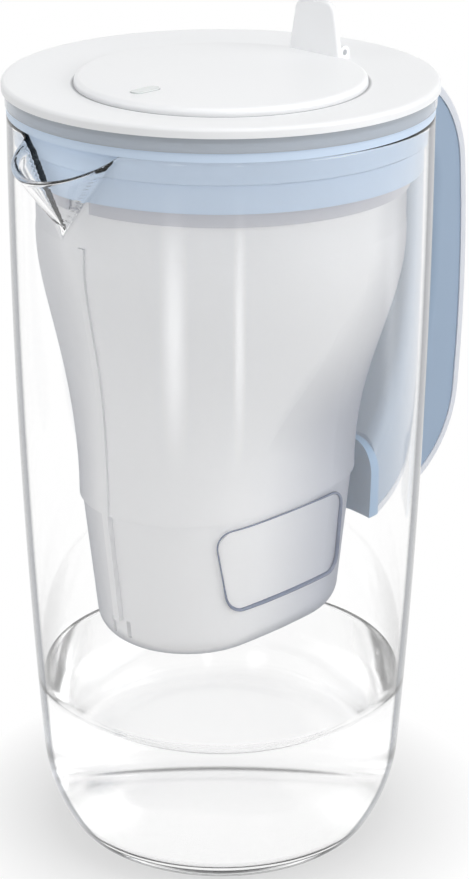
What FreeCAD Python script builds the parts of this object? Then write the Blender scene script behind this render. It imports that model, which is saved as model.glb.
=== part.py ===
import FreeCAD, Part
import math
import os
import re
import Sketcher

# Water filter jug, in millimetres.
# The jug stands on z = 0 with its axis on +Z. The handle points to +X and the pouring spout to -X.

# Driving sizes
SIZES = (
    # Glass
    ("glass_height", "248.2"),
    ("glass_rim_radius", "67.1"),
    ("glass_wall", "1.9"),
    ("glass_floor", "4.2"),
    ("glass_base_inset", "20.6"),
    ("glass_corner_run", "6.2"),
    ("glass_corner_rise", "3.5"),
    ("glass_corner_arc", "7.2"),
    ("glass_heel_run", "8.15"),
    ("glass_heel_rise", "25.8"),
    ("glass_heel_arc", "57.8"),
    ("glass_wall_arc", "2667"),
    ("floor_inset", "1.0"),
    ("floor_corner_run", "8.15"),
    ("floor_corner_rise", "5.15"),
    ("floor_corner_arc", "9.0"),
    # Pouring spout
    ("spout_root_drop", "27.5"),
    ("spout_top_radius", "21.2"),
    ("spout_axis_inset", "0.9"),
    ("spout_lip_inset", "3.5"),
    ("spout_lip_drop", "10.9"),
    ("spout_root_round", "2.5"),
    # Collar and its seal
    ("collar_flange", "2.8"),
    ("collar_skirt_gap", "1.4"),
    ("collar_skirt_depth", "16.2"),
    ("collar_bore_wall", "2.1"),
    ("collar_seal_depth", "7.5"),
    ("collar_seal_seat", "1.4"),
    ("collar_seal_gap", "0.2"),
    ("collar_seal_round", "0.7"),
    ("lug_width", "16.0"),
    ("tenon_length", "6.0"),
    ("tenon_width", "10.0"),
    ("tenon_height", "1.4"),
    ("tenon_clearance", "0.1"),
    # Handle
    ("handle_root_gap", "1.3"),
    ("handle_width", "20.0"),
    ("handle_top_bend", "41.0"),
    ("handle_bow_arc", "480"),
    ("handle_bow_turn", "5.2"),
    ("handle_heel_turn", "4.8"),
    ("handle_heel_arc", "38.0"),
    ("handle_sole_turn", "60.0"),
    ("handle_sole_arc", "90.0"),
    ("handle_root_depth", "22.0"),
    ("handle_inner_bend", "22.6"),
    ("handle_foot_gap", "1.8"),
    ("handle_foot_high", "121.0"),
    ("handle_grip_height", "178.0"),
    ("handle_grip_inset", "0.5"),
    ("handle_grip_arc", "95.0"),
    ("handle_round", "6.5"),
    ("cover_thickness", "3.2"),
    ("cover_width", "21.0"),
    ("cover_start", "9.6"),
    ("cover_round", "1.3"),
    ("foot_pad_width", "23.7"),
    ("foot_pad_low", "93.0"),
    ("foot_pad_high", "120.0"),
    ("foot_pad_depth", "12.0"),
    ("foot_pad_clearance", "0.1"),
    # Funnel
    ("funnel_wall", "1.8"),
    ("funnel_clearance", "1.5"),
    ("funnel_flange_height", "4.6"),
    ("funnel_flange_overhang", "0.4"),
    ("funnel_flange_plate", "2.0"),
    ("funnel_flange_lip", "1.8"),
    ("hopper_bend_height", "205.0"),
    ("hopper_lead", "10.0"),
    ("cup_top_height", "125.0"),
    ("cup_base_height", "75.0"),
    ("hopper_end_inset", "8.6"),
    ("hopper_side_inset", "24.4"),
    ("cup_step", "0.9"),
    ("cup_end_taper", "5.7"),
    ("cup_side_taper", "3.7"),
    ("cup_offset", "0.8"),
    ("oval_turn", "86.0"),
    ("cup_wall", "2.4"),
    ("cup_floor", "2.0"),
    ("cup_round", "9.0"),
    ("outlet_radius", "11.0"),
    ("rib_width", "2.6"),
    ("rib_height", "0.8"),
    ("drain_slot_width", "1.6"),
    ("drain_slot_height", "6.0"),
    ("drain_slot_spread", "3.4"),
    ("drain_slot_rise", "12.0"),
    ("panel_width", "55.0"),
    ("panel_height", "29.5"),
    ("panel_rise", "17.5"),
    ("panel_shift", "2.7"),
    ("panel_corner", "6.0"),
    ("panel_relief", "0.7"),
    # Grey band round the funnel
    ("band_height", "4.2"),
    ("band_drop", "1.0"),
    ("band_thickness", "1.1"),
    ("band_gap", "0.05"),
    ("band_opening", "9.0"),
    # Filter cartridge
    ("shell_wall", "1.4"),
    ("shell_floor", "2.2"),
    ("shell_lift", "2.0"),
    ("shell_round", "5.0"),
    ("shell_slack", "0.8"),
    ("shell_flange", "2.4"),
    ("shell_flange_slack", "0.9"),
    ("spigot_radius", "9.0"),
    ("spigot_wall", "1.6"),
    ("cartridge_seal_height", "5.0"),
    ("cartridge_seal_slack", "1.4"),
    ("seal_grip", "0.05"),
    ("cap_height", "22.0"),
    ("cap_inset", "4.0"),
    ("cap_wall", "1.6"),
    ("cap_round", "7.0"),
    ("intake_slot_width", "2.4"),
    ("intake_slot_length", "22.0"),
    ("intake_slot_pitch", "6.0"),
    ("intake_slot_offset", "14.0"),
    ("grip_length", "34.0"),
    ("grip_height", "16.0"),
    ("grip_thickness", "5.0"),
    ("grip_bar", "4.5"),
    ("screen_thickness", "0.7"),
    ("screen_slack", "0.2"),
    ("media_slack", "0.2"),
    ("media_headroom", "3.0"),
    # Lid
    ("lid_overhang", "1.0"),
    ("lid_rim_height", "3.0"),
    ("lid_rim_inset", "2.0"),
    ("lid_ledge_height", "0.9"),
    ("lid_ledge_thickness", "1.8"),
    ("flap_seat_width", "2.9"),
    ("lid_plug_slack", "0.5"),
    ("lid_plug_wall", "1.6"),
    ("lid_plug_depth", "8.6"),
    ("lid_rim_round", "1.2"),
    # Flap, thumb tab and hinge
    ("flap_inset", "11.1"),
    ("flap_thickness", "2.5"),
    ("flap_round", "1.6"),
    ("flap_rib_height", "2.3"),
    ("flap_rib_wall", "1.2"),
    ("flap_rib_slack", "0.8"),
    ("tab_inset", "3.8"),
    ("tab_thickness", "2.3"),
    ("tab_height", "17.3"),
    ("tab_base_width", "22.5"),
    ("tab_top_width", "17.5"),
    ("tab_corner", "5.0"),
    ("tab_round", "0.9"),
    ("hinge_reach", "2.8"),
    ("hinge_rise", "2.7"),
    ("hinge_barrel_radius", "2.2"),
    ("hinge_pin_radius", "0.9"),
    ("hinge_pin_clearance", "0.05"),
    ("hinge_knuckle_width", "8.0"),
    ("hinge_lug_width", "3.4"),
    ("hinge_side_gap", "0.4"),
    # Filter change indicator in the flap
    ("button_inset", "13.5"),
    ("button_length", "10.4"),
    ("button_width", "4.2"),
    ("button_clearance", "0.3"),
    ("button_proud", "0.4"),
    ("button_flange", "0.8"),
    ("button_flange_height", "0.8"),
    ("button_travel", "0.8"),
    ("case_shift", "9.4"),
    ("case_radius", "17.6"),
    ("case_wall", "1.3"),
    ("case_depth", "11.0"),
    ("case_cover_thickness", "1.6"),
    ("case_cover_plug", "1.6"),
    ("case_fit", "0.1"),
    ("board_thickness", "1.2"),
    ("board_drop", "3.2"),
    ("cell_radius", "10.0"),
    ("cell_thickness", "3.2"),
    ("contact_thickness", "0.4"),
    ("contact_width", "6.0"),
    ("switch_size", "4.0"),
    ("switch_gap", "0.05"),
    ("led_size", "2.0"),
    ("led_height", "1.2"),
    ("led_offset", "8.0"),
    # One overrun for every cut that runs out of its solid
    ("overrun", "1.0"),
)

# Shares of the way from the round mouth of the hopper to the long cup under it
HOPPER_SHARES = (
    # height, length, width
    (0.00, 0.00, 0.00),
    (0.30, 0.50, 0.26),
    (0.56, 0.84, 0.66),
    (0.78, 0.96, 0.92),
    (1.00, 1.00, 1.00),
)
CUP_SHARES = (0.0, 0.4, 1.0)
INTAKE_SLOTS = 7

doc = FreeCAD.newDocument("water_filter_jug")
sizes = doc.addObject("Spreadsheet::Sheet", "sizes")
for row, (alias, number) in enumerate(SIZES, start=1):
    sizes.set(f"A{row}", alias)
    sizes.set(f"B{row}", number)
    sizes.setAlias(f"B{row}", alias)
doc.recompute()

ALIAS = re.compile(r"\b(" + "|".join(alias for alias, number in SIZES) + r")\b")

# Levels and radii that several pieces share, worked out from the driving sizes
COLLAR_TOP = "(glass_height + collar_flange)"
FUNNEL_TOP = f"({COLLAR_TOP} + funnel_flange_height)"
GLASS_BORE = "(glass_rim_radius - glass_wall)"
SKIRT_RADIUS = f"({GLASS_BORE} - collar_skirt_gap)"
SEAL_SEAT = f"({SKIRT_RADIUS} - collar_seal_seat)"
COLLAR_BORE = f"({SEAL_SEAT} - collar_bore_wall)"
SKIRT_LOW = "(glass_height - collar_skirt_depth)"
SEAL_LOW = "(glass_height - collar_seal_depth)"
TUBE_RADIUS = f"({COLLAR_BORE} - funnel_clearance)"
TUBE_BORE = f"({TUBE_RADIUS} - funnel_wall)"
HOPPER_HALF_LENGTH = f"({TUBE_RADIUS} - hopper_end_inset)"
HOPPER_HALF_WIDTH = f"({TUBE_RADIUS} - hopper_side_inset)"
CUP_HALF_LENGTH = f"({HOPPER_HALF_LENGTH} - cup_step)"
CUP_HALF_WIDTH = f"({HOPPER_HALF_WIDTH} - cup_step)"
BASE_HALF_LENGTH = f"({CUP_HALF_LENGTH} - cup_end_taper)"
BASE_HALF_WIDTH = f"({CUP_HALF_WIDTH} - cup_side_taper)"
GLASS_BASE = "(glass_rim_radius - glass_base_inset)"
FLAP_RADIUS = f"({TUBE_BORE} - flap_inset)"
LID_HOLE = f"({FLAP_RADIUS} - flap_seat_width)"
TAB_FRONT = f"({FLAP_RADIUS} - tab_inset)"
HINGE_X = f"({FLAP_RADIUS} + hinge_reach)"
BUTTON_X = f"({FLAP_RADIUS} - button_inset)"
CASE_X = f"({BUTTON_X} - case_shift)"
HANDLE_ROOT = "(glass_rim_radius + handle_root_gap)"
HANDLE_FOOT = "(glass_rim_radius + handle_foot_gap)"
LEDGE_TOP = f"({FUNNEL_TOP} + lid_ledge_height)"
FLAP_TOP = f"({LEDGE_TOP} + flap_thickness)"
HINGE_Z = f"({LEDGE_TOP} + hinge_rise)"
SHELL_BASE = "(cup_base_height + cup_floor + shell_lift)"
SHELL_TOP = "(cup_top_height + shell_flange)"
SHELL_HALF_LENGTH = f"({BASE_HALF_LENGTH} - cup_wall - shell_slack)"
SHELL_HALF_WIDTH = f"({BASE_HALF_WIDTH} - cup_wall - shell_slack)"
FLANGE_HALF_LENGTH = f"({HOPPER_HALF_LENGTH} - funnel_wall - shell_flange_slack)"
FLANGE_HALF_WIDTH = f"({HOPPER_HALF_WIDTH} - funnel_wall - shell_flange_slack)"
CUP_MOUTH_HALF_LENGTH = f"({CUP_HALF_LENGTH} - cup_wall)"
CUP_MOUTH_HALF_WIDTH = f"({CUP_HALF_WIDTH} - cup_wall)"
CAP_HALF_LENGTH = f"({FLANGE_HALF_LENGTH} - cap_inset)"
CAP_HALF_WIDTH = f"({FLANGE_HALF_WIDTH} - cap_inset)"
CASE_LOW = f"({LEDGE_TOP} - case_depth)"
BOARD_TOP = f"({LEDGE_TOP} - board_drop)"
BOARD_LOW = f"({BOARD_TOP} - board_thickness)"
CASE_BORE = "(case_radius - case_wall)"


def bound(text):
    """An expression on the sheet, from a sum written in the sheet's aliases."""
    return ALIAS.sub(r"sizes.\1", text)


def value(text):
    """The number that such a sum comes to."""
    return float(sizes.evalExpression(bound(text)))


def bind(item, **sums):
    """Tie properties of a feature to sums of sheet sizes."""
    for name, text in sums.items():
        item.setExpression(name.replace("__", "."), bound(text))
    return item


def new_body(name, **place):
    """A body that carries one piece, moved to its place by sheet sizes."""
    body = doc.addObject("PartDesign::Body", name)
    body.Label = name
    bind(body, **{f"Placement__Base__{axis}": text for axis, text in place.items()})
    return body


def new_sketch(body, role, offset="0"):
    """A sketch on one of the body's own planes, lifted along the plane's normal."""
    plane = next(item for item in body.Origin.OriginFeatures if item.Role == role)
    sketch = body.newObject("Sketcher::SketchObject", f"{body.Name}_sketch")
    sketch.AttachmentSupport = [(plane, "")]
    sketch.MapMode = "FlatFace"
    if offset != "0":
        bind(sketch, AttachmentOffset__Base__z=offset)
    return sketch


def arc_between(start, end, radius, side):
    """An arc from start to end whose centre is on the left (1) or the right (-1) of that run."""
    run = end - start
    half = run.Length / 2
    middle = (start + end) / 2
    left = FreeCAD.Vector(-run.y, run.x, 0) / run.Length
    centre = middle + left * side * math.sqrt(max(radius ** 2 - half ** 2, 0))
    circle = Part.Circle(centre, FreeCAD.Vector(0, 0, 1), radius)
    first, last = (start, end) if side > 0 else (end, start)
    angles = [math.atan2(spot.y - centre.y, spot.x - centre.x) for spot in (first, last)]
    return Part.ArcOfCircle(circle, angles[0], angles[1])


def draw(sketch, points):
    """A closed outline. A point is (x, y), or (x, y, radius, side) at the end of an arc."""
    spots = [FreeCAD.Vector(value(point[0]), value(point[1]), 0) for point in points]
    ends = []
    for index, point in enumerate(points):
        start, end = spots[index - 1], spots[index]
        if len(point) == 2:
            geometry = sketch.addGeometry(Part.LineSegment(start, end), False)
            ends.append((geometry, 1, 2))
        else:
            arc = arc_between(start, end, value(point[2]), point[3])
            geometry = sketch.addGeometry(arc, False)
            ends.append((geometry, 1, 2) if point[3] > 0 else (geometry, 2, 1))
    for index, (geometry, _, last) in enumerate(ends):
        following, first, _ = ends[(index + 1) % len(ends)]
        sketch.addConstraint(Sketcher.Constraint("Coincident", geometry, last, following, first))
    for point, spot, (geometry, _, last) in zip(points, spots, ends):
        rows = (("DistanceX", -2, point[0], spot.x), ("DistanceY", -1, point[1], spot.y))
        for kind, axis, text, number in rows:
            if text == "0":
                sketch.addConstraint(Sketcher.Constraint("PointOnObject", geometry, last, axis))
            else:
                place = sketch.addConstraint(Sketcher.Constraint(kind, -1, 1, geometry, last, number))
                sketch.setExpression(f"Constraints[{place}]", bound(text))
        if len(point) > 2:
            place = sketch.addConstraint(Sketcher.Constraint("Radius", geometry, value(point[2])))
            sketch.setExpression(f"Constraints[{place}]", bound(point[2]))
    return sketch


def turned(body, points, cut=False):
    """A piece, or a cut, that is turned about the body's Z axis."""
    sketch = draw(new_sketch(body, "XZ_Plane"), points)
    feature = body.newObject("PartDesign::Groove" if cut else "PartDesign::Revolution", f"{body.Name}_turn")
    feature.Profile = sketch
    feature.ReferenceAxis = (sketch, ["V_Axis"])
    feature.Angle = 360
    return feature


def padded(body, role, points, length, offset="0", cut=False, both_ways=False, reverse=False):
    """A piece, or a cut, of even thickness."""
    sketch = draw(new_sketch(body, role, offset), points)
    feature = body.newObject("PartDesign::Pocket" if cut else "PartDesign::Pad", f"{body.Name}_pad")
    feature.Profile = sketch
    feature.SideType = "Symmetric" if both_ways else "One side"
    feature.Reversed = reverse
    return bind(feature, Length=length)


def rounded(body, radius, wanted):
    """A fillet on those edges of the body so far that pass the test."""
    doc.recompute()
    base = body.Tip
    names = [f"Edge{index}" for index, edge in enumerate(base.Shape.Edges, start=1) if wanted(edge)]
    feature = body.newObject("PartDesign::Fillet", f"{body.Name}_round")
    feature.Base = (base, names)
    return bind(feature, Radius=radius)


def at_level(*levels):
    """A test for edges that lie flat at one of these heights."""
    heights = [value(level) for level in levels]
    near = value("overrun") / 100

    def wanted(edge):
        box = edge.BoundBox
        flat = box.ZLength < near
        return flat and any(abs(box.ZMin - height) < near for height in heights)
    return wanted


def between(points):
    """A test for edges in the XZ plane that run from one of these points to another."""
    spots = [(value(point[0]), value(point[1])) for point in points]
    near = value("overrun") / 100

    def wanted(edge):
        ends = [(vertex.X, vertex.Z) for vertex in edge.Vertexes]
        met = all(any(math.dist(end, spot) < near for spot in spots) for end in ends)
        return met and edge.BoundBox.YLength < near
    return wanted


def box_outline(x_low, x_high, y_low, y_high):
    """The outline of a rectangle."""
    return [(x_low, y_low), (x_high, y_low), (x_high, y_high), (x_low, y_high)]


def slot_outline(half_length, half_width):
    """The outline of a slot along X about the origin, its round ends drawn as quarter circles."""
    flat = f"({half_length} - {half_width})"
    return [
        (flat, f"-{half_width}"),
        (half_length, "0", half_width, 1),
        (flat, half_width, half_width, 1),
        (f"-{flat}", half_width),
        (f"-{half_length}", "0", half_width, 1),
        (f"-{flat}", f"-{half_width}", half_width, 1),
    ]


def ring_outline(inner, outer, low, high):
    """The section of a plain ring."""
    return [(inner, low), (outer, low), (outer, high), (inner, high)]


def glass_outline(extra="0"):
    """The outer outline of the glass from its axis, moved out by an extra gap."""
    base = f"({GLASS_BASE} + {extra})"
    corner = f"({base} + glass_corner_run)"
    heel = f"({corner} + glass_heel_run)"
    return [
        ("0", "0"),
        (base, "0"),
        (corner, "glass_corner_rise", "glass_corner_arc", 1),
        (heel, "glass_corner_rise + glass_heel_rise", "glass_heel_arc", 1),
        (f"glass_rim_radius + {extra}", "glass_height", "glass_wall_arc", 1),
        ("0", "glass_height"),
    ]


# Glass: a turned vessel with a cone blown out of its rim as the pouring spout
def spout_cone(body, kind, drop):
    """A cone that opens upwards from a point under the rim, added to the glass or cut out of it."""
    cone = body.newObject(f"PartDesign::{kind}Cone", f"glass_spout_{kind.lower()}")
    cone.Radius1 = 0
    bind(
        cone,
        Radius2=f"{drop} * spout_top_radius / spout_root_drop",
        Height=drop,
        Placement__Base__x="spout_axis_inset - glass_rim_radius",
        Placement__Base__z=f"glass_height - {drop}",
    )


def make_glass():
    body = new_body("glass_jug")
    turned(body, glass_outline())
    spout_cone(body, "Additive", "spout_root_drop")
    rounded(body, "spout_root_round", lambda edge: edge.BoundBox.XMax < 0
            and edge.BoundBox.ZLength > value("overrun"))
    floor = f"({GLASS_BASE} - floor_inset)"
    heel = f"({GLASS_BASE} + glass_corner_run + glass_heel_run - glass_wall)"
    turned(body, [
        ("0", "glass_floor"),
        (floor, "glass_floor"),
        (f"{floor} + floor_corner_run", "glass_floor + floor_corner_rise", "floor_corner_arc", 1),
        (heel, "glass_corner_rise + glass_heel_rise", "glass_heel_arc - glass_wall", 1),
        (GLASS_BORE, "glass_height", "glass_wall_arc - glass_wall", 1),
        (GLASS_BORE, "glass_height + overrun"),
        ("0", "glass_height + overrun"),
    ], cut=True)
    slant = "sqrt(spout_root_drop ^ 2 + spout_top_radius ^ 2)"
    spout_cone(body, "Subtractive", f"(spout_root_drop - glass_wall * {slant} / spout_top_radius)")
    reach = "(glass_rim_radius - spout_axis_inset + spout_top_radius)"
    start = "(glass_rim_radius - spout_lip_inset)"
    fall = f"spout_lip_drop / ({reach} - {start})"
    padded(body, "XZ_Plane", [
        (f"-{start}", "glass_height"),
        (f"-{start}", "glass_height + overrun"),
        (f"-{reach} - overrun", "glass_height + overrun"),
        (f"-{reach} - overrun", f"glass_height - spout_lip_drop - overrun * {fall}"),
    ], "2 * spout_top_radius + 2 * overrun", cut=True, both_ways=True)
    return body


# Collar: flange on the glass rim, skirt inside it, and a lug with a tenon for the handle
def make_collar():
    body = new_body("collar_ring")
    turned(body, [
        (COLLAR_BORE, SKIRT_LOW),
        (SKIRT_RADIUS, SKIRT_LOW),
        (SKIRT_RADIUS, SEAL_LOW),
        (SEAL_SEAT, SEAL_LOW),
        (SEAL_SEAT, "glass_height"),
        ("glass_rim_radius", "glass_height"),
        ("glass_rim_radius", COLLAR_TOP),
        (COLLAR_BORE, COLLAR_TOP),
    ])
    padded(
        body,
        "XY_Plane",
        box_outline(SKIRT_RADIUS, HANDLE_ROOT, "-lug_width / 2", "lug_width / 2"),
        "collar_flange",
        offset="glass_height",
    )
    padded(
        body,
        "XY_Plane",
        box_outline(SKIRT_RADIUS, f"{HANDLE_ROOT} + tenon_length", "-tenon_width / 2", "tenon_width / 2"),
        "tenon_height",
        offset="glass_height + (collar_flange - tenon_height) / 2",
    )
    return body


def make_collar_seal():
    body = new_body("collar_seal")
    high = "glass_height"
    turned(body, ring_outline(SEAL_SEAT, f"{GLASS_BORE} - collar_seal_gap", SEAL_LOW, high))
    rounded(body, "collar_seal_round", lambda edge: edge.BoundBox.XLength / 2 > value(SKIRT_RADIUS)
            and at_level(SEAL_LOW, high)(edge))
    return body


# Handle: a blue arm from the collar to the foot, and a pale cover along its outside
def handle_curve(depth):
    """The outer side of the handle at a depth, as tangent arcs from the collar to the foot."""
    def swung(centre, reach, turn):
        """The point at a reach from a centre, in a direction that many degrees over the level."""
        return f"({centre[0]} + {reach} * cos({turn}))", f"({centre[1]} + {reach} * sin({turn}))"

    bend = (HANDLE_ROOT, f"({COLLAR_TOP} - handle_top_bend)")
    bow = swung(bend, "(handle_top_bend - handle_bow_arc)", "handle_bow_turn")
    heel = swung(bow, "(handle_bow_arc - handle_heel_arc)", "-handle_heel_turn")
    sole = swung(heel, "(handle_heel_arc - handle_sole_arc)", "-handle_sole_turn")
    radii = [f"(handle_{name} - {depth})" for name in ("top_bend", "bow_arc", "heel_arc", "sole_arc")]
    edge = f"({HANDLE_ROOT} + cover_start)"
    return [
        (edge, f"{bend[1]} + sqrt({radii[0]} ^ 2 - cover_start ^ 2)", radii[0]),
        (*swung(bend, radii[0], "handle_bow_turn"), radii[0]),
        (*swung(bow, radii[1], "-handle_heel_turn"), radii[1]),
        (*swung(heel, radii[2], "-handle_sole_turn"), radii[2]),
        (HANDLE_FOOT, f"{sole[1]} - sqrt({radii[3]} ^ 2 - ({HANDLE_FOOT} - {sole[0]}) ^ 2)", radii[3]),
    ]


def make_handle_arm():
    body = new_body("handle_arm")
    grip_x = f"({HANDLE_ROOT} + handle_inner_bend)"
    root_low = f"({COLLAR_TOP} - handle_root_depth)"
    under = handle_curve("cover_thickness")
    points = [(HANDLE_ROOT, COLLAR_TOP), (*handle_curve("0")[0], -1), under[0][:2]]
    points += [(*corner, -1) for corner in under[1:]]
    points += [
        (HANDLE_FOOT, "handle_foot_high"),
        (f"{grip_x} - handle_grip_inset", "handle_grip_height", "handle_grip_arc", 1),
        (grip_x, f"{root_low} - handle_inner_bend"),
        (HANDLE_ROOT, root_low, "handle_inner_bend", 1),
    ]
    padded(body, "XZ_Plane", points, "handle_width", both_ways=True)
    rounded(body, "handle_round", between(points[-4:]))
    padded(
        body,
        "XY_Plane",
        box_outline(
            f"{HANDLE_ROOT} - overrun",
            f"{HANDLE_ROOT} + tenon_length + tenon_clearance",
            "-tenon_width / 2 - tenon_clearance",
            "tenon_width / 2 + tenon_clearance",
        ),
        "tenon_height + 2 * tenon_clearance",
        offset="glass_height + (collar_flange - tenon_height) / 2 - tenon_clearance",
        cut=True,
        reverse=True,
    )
    return body


def make_handle_cover():
    body = new_body("handle_cover")
    outer, under = handle_curve("0"), handle_curve("cover_thickness")
    points = [outer[0][:2]]
    points += [(*corner, -1) for corner in outer[1:]]
    points.append(under[-1][:2])
    points += [(*corner[:2], following[2], 1) for corner, following in zip(under[-2::-1], under[:0:-1])]
    padded(body, "XZ_Plane", points, "cover_width", both_ways=True)
    rounded(body, "cover_round", between(outer))
    return body


def make_foot_pad():
    body = new_body("handle_foot_pad")
    arch = "(foot_pad_high - foot_pad_width / 2)"
    padded(body, "YZ_Plane", [
        ("-foot_pad_width / 2", "foot_pad_low"),
        ("foot_pad_width / 2", "foot_pad_low"),
        ("foot_pad_width / 2", arch),
        ("0", "foot_pad_high", "foot_pad_width / 2", 1),
        ("-foot_pad_width / 2", arch, "foot_pad_width / 2", 1),
    ], "foot_pad_depth", offset=f"{HANDLE_FOOT} - foot_pad_depth")
    turned(body, glass_outline("foot_pad_clearance"), cut=True)
    return body


# Funnel: a round mouth on the collar that narrows into a long cup for the cartridge
def oval(height, half_length, half_width, centre_x):
    """A closed wire of four tangent arcs, which is a circle where length and width agree."""
    turn = math.radians(value("oval_turn"))
    spread = (half_length - half_width) / (math.sin(turn) + math.cos(turn) - 1)
    end_radius = half_length - spread * math.cos(turn)
    side_radius = half_width + spread * math.sin(turn)

    def spot(centre, radius, angle):
        along, across = radius * math.cos(angle), radius * math.sin(angle)
        return FreeCAD.Vector(centre[0] + along, centre[1] + across, height)

    arcs = []
    for quarter, (radius, swing) in enumerate([(end_radius, turn), (side_radius, math.pi / 2 - turn)] * 2):
        aim = quarter * math.pi / 2
        reach = (half_length if quarter % 2 == 0 else half_width) - radius
        centre = (centre_x + reach * math.cos(aim), reach * math.sin(aim))
        arcs.append(Part.Arc(*(spot(centre, radius, aim + swing * step) for step in (-1, 0, 1))).toShape())
    return Part.Wire(arcs)


def loft(rows):
    """A solid through ovals given as (height, half length, half width, centre x)."""
    return Part.makeLoft([oval(*row) for row in rows], True, False)


def hopper_rows(inset):
    """The ovals of the hopper, moved in by a wall."""
    mouth = value(TUBE_RADIUS)
    top, low = value("hopper_bend_height"), value("cup_top_height")
    rows = [(top + value("hopper_lead"), mouth - inset, mouth - inset, 0)]
    for height_share, length_share, width_share in HOPPER_SHARES:
        half_length = mouth - value("hopper_end_inset") * length_share
        half_width = mouth - value("hopper_side_inset") * width_share
        centre_x = -value("cup_offset") * length_share
        rows.append((top + (low - top) * height_share, half_length - inset, half_width - inset, centre_x))
    return rows


def cup_rows(inset, low):
    """The ovals of the cup, from the step under the hopper down to a floor."""
    top, base = value("cup_top_height"), value("cup_base_height")
    starts = [value(CUP_HALF_LENGTH), value(CUP_HALF_WIDTH)]
    ends = [value(BASE_HALF_LENGTH), value(BASE_HALF_WIDTH)]
    rows = []
    for share in CUP_SHARES:
        height = top + (low - top) * share
        depth = (top - height) / (top - base)
        half = [start + (end - start) * depth - inset for start, end in zip(starts, ends)]
        rows.append((height, *half, -value("cup_offset")))
    return rows


def round_base(solid, radius, height):
    """The solid with its lowest edges rounded."""
    near = value("overrun") / 100
    edges = [edge for edge in solid.Edges if abs(edge.BoundBox.ZMax - height) < near]
    return solid.makeFillet(radius, edges)


def make_funnel():
    tube, bore = value(TUBE_RADIUS), value(TUBE_BORE)
    top, rest = value(FUNNEL_TOP), value(COLLAR_TOP)
    plate = top - value("funnel_flange_plate")
    flange = value("glass_rim_radius + funnel_flange_overhang")
    lip = flange - value("funnel_flange_lip")
    lead = value("hopper_bend_height + hopper_lead")
    section = [
        (bore, lead), (tube, lead), (tube, plate), (lip, plate),
        (lip, rest), (flange, rest), (flange, top), (bore, top),
    ]
    corners = [FreeCAD.Vector(x, 0, z) for x, z in section + section[:1]]
    mouth = Part.Face(Part.makePolygon(corners)).revolve(FreeCAD.Vector(), FreeCAD.Vector(0, 0, 1), 360)
    base, floor = value("cup_base_height"), value("cup_base_height + cup_floor")
    cup = round_base(loft(cup_rows(0, base)), value("cup_round"), base)
    cup_space = round_base(loft(cup_rows(value("cup_wall"), floor)), value("cup_round - cup_floor"), floor)
    hopper = loft(hopper_rows(0))
    hopper_space = loft(hopper_rows(value("funnel_wall")))
    offset = value("cup_offset")

    # A low panel stands on the near side of the cup, and a rib runs down its spout end
    proud = loft(cup_rows(-value("panel_relief"), base))
    panel = Part.makeBox(
        value("panel_width"), value(BASE_HALF_WIDTH), value("panel_height"),
        FreeCAD.Vector(
            -value("panel_width") / 2 - offset - value("panel_shift"),
            -2 * value(BASE_HALF_WIDTH),
            base + value("panel_rise"),
        ),
    )
    upright = [edge for edge in panel.Edges if edge.BoundBox.YLength > value("overrun")]
    panel = panel.makeFillet(value("panel_corner"), upright).common(proud)
    rib_rows = hopper_rows(-value("rib_height")), cup_rows(-value("rib_height") - value("cup_step"), base)
    rib_box = Part.makeBox(
        tube, value("rib_width"), lead - base - value("drain_slot_rise"),
        FreeCAD.Vector(-2 * tube + bore / 2, -value("rib_width") / 2, base + value("drain_slot_rise")),
    )
    rib = loft(rib_rows[0]).fuse(loft(rib_rows[1])).common(rib_box)
    solid = mouth.fuse([hopper, cup, panel, rib]).cut([hopper_space, cup_space])

    # Outlet in the floor and two drain slots at the spout end
    below = 2 * base - floor
    start = FreeCAD.Vector(-offset, 0, below)
    outlet = Part.makeCylinder(value("outlet_radius"), 2 * (floor - base), start)
    slots = [
        Part.makeBox(
            value(BASE_HALF_LENGTH), value("drain_slot_width"), value("drain_slot_height"),
            FreeCAD.Vector(
                -2 * value(BASE_HALF_LENGTH),
                side * value("drain_slot_spread") - value("drain_slot_width") / 2,
                base + value("drain_slot_rise") - value("drain_slot_height"),
            ),
        )
        for side in (-1, 1)
    ]
    solid = solid.cut([outlet] + slots).removeSplitter()
    item = doc.addObject("Part::Feature", "funnel")
    item.Label = "funnel"
    item.Shape = solid
    return item


def make_band():
    body = new_body("funnel_band")
    high = f"({SKIRT_LOW} - band_drop)"
    inner = f"({TUBE_RADIUS} + band_gap)"
    turned(body, ring_outline(inner, f"{inner} + band_thickness", f"{high} - band_height", high))
    gap = body.newObject("PartDesign::SubtractiveBox", "funnel_band_gap")
    bind(
        gap,
        Length="glass_rim_radius",
        Width="band_opening",
        Height="band_height + 2 * overrun",
        Placement__Base__x="-glass_rim_radius",
        Placement__Base__y="-band_opening / 2",
        Placement__Base__z=f"{high} - band_height - overrun",
    )
    return body


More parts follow.
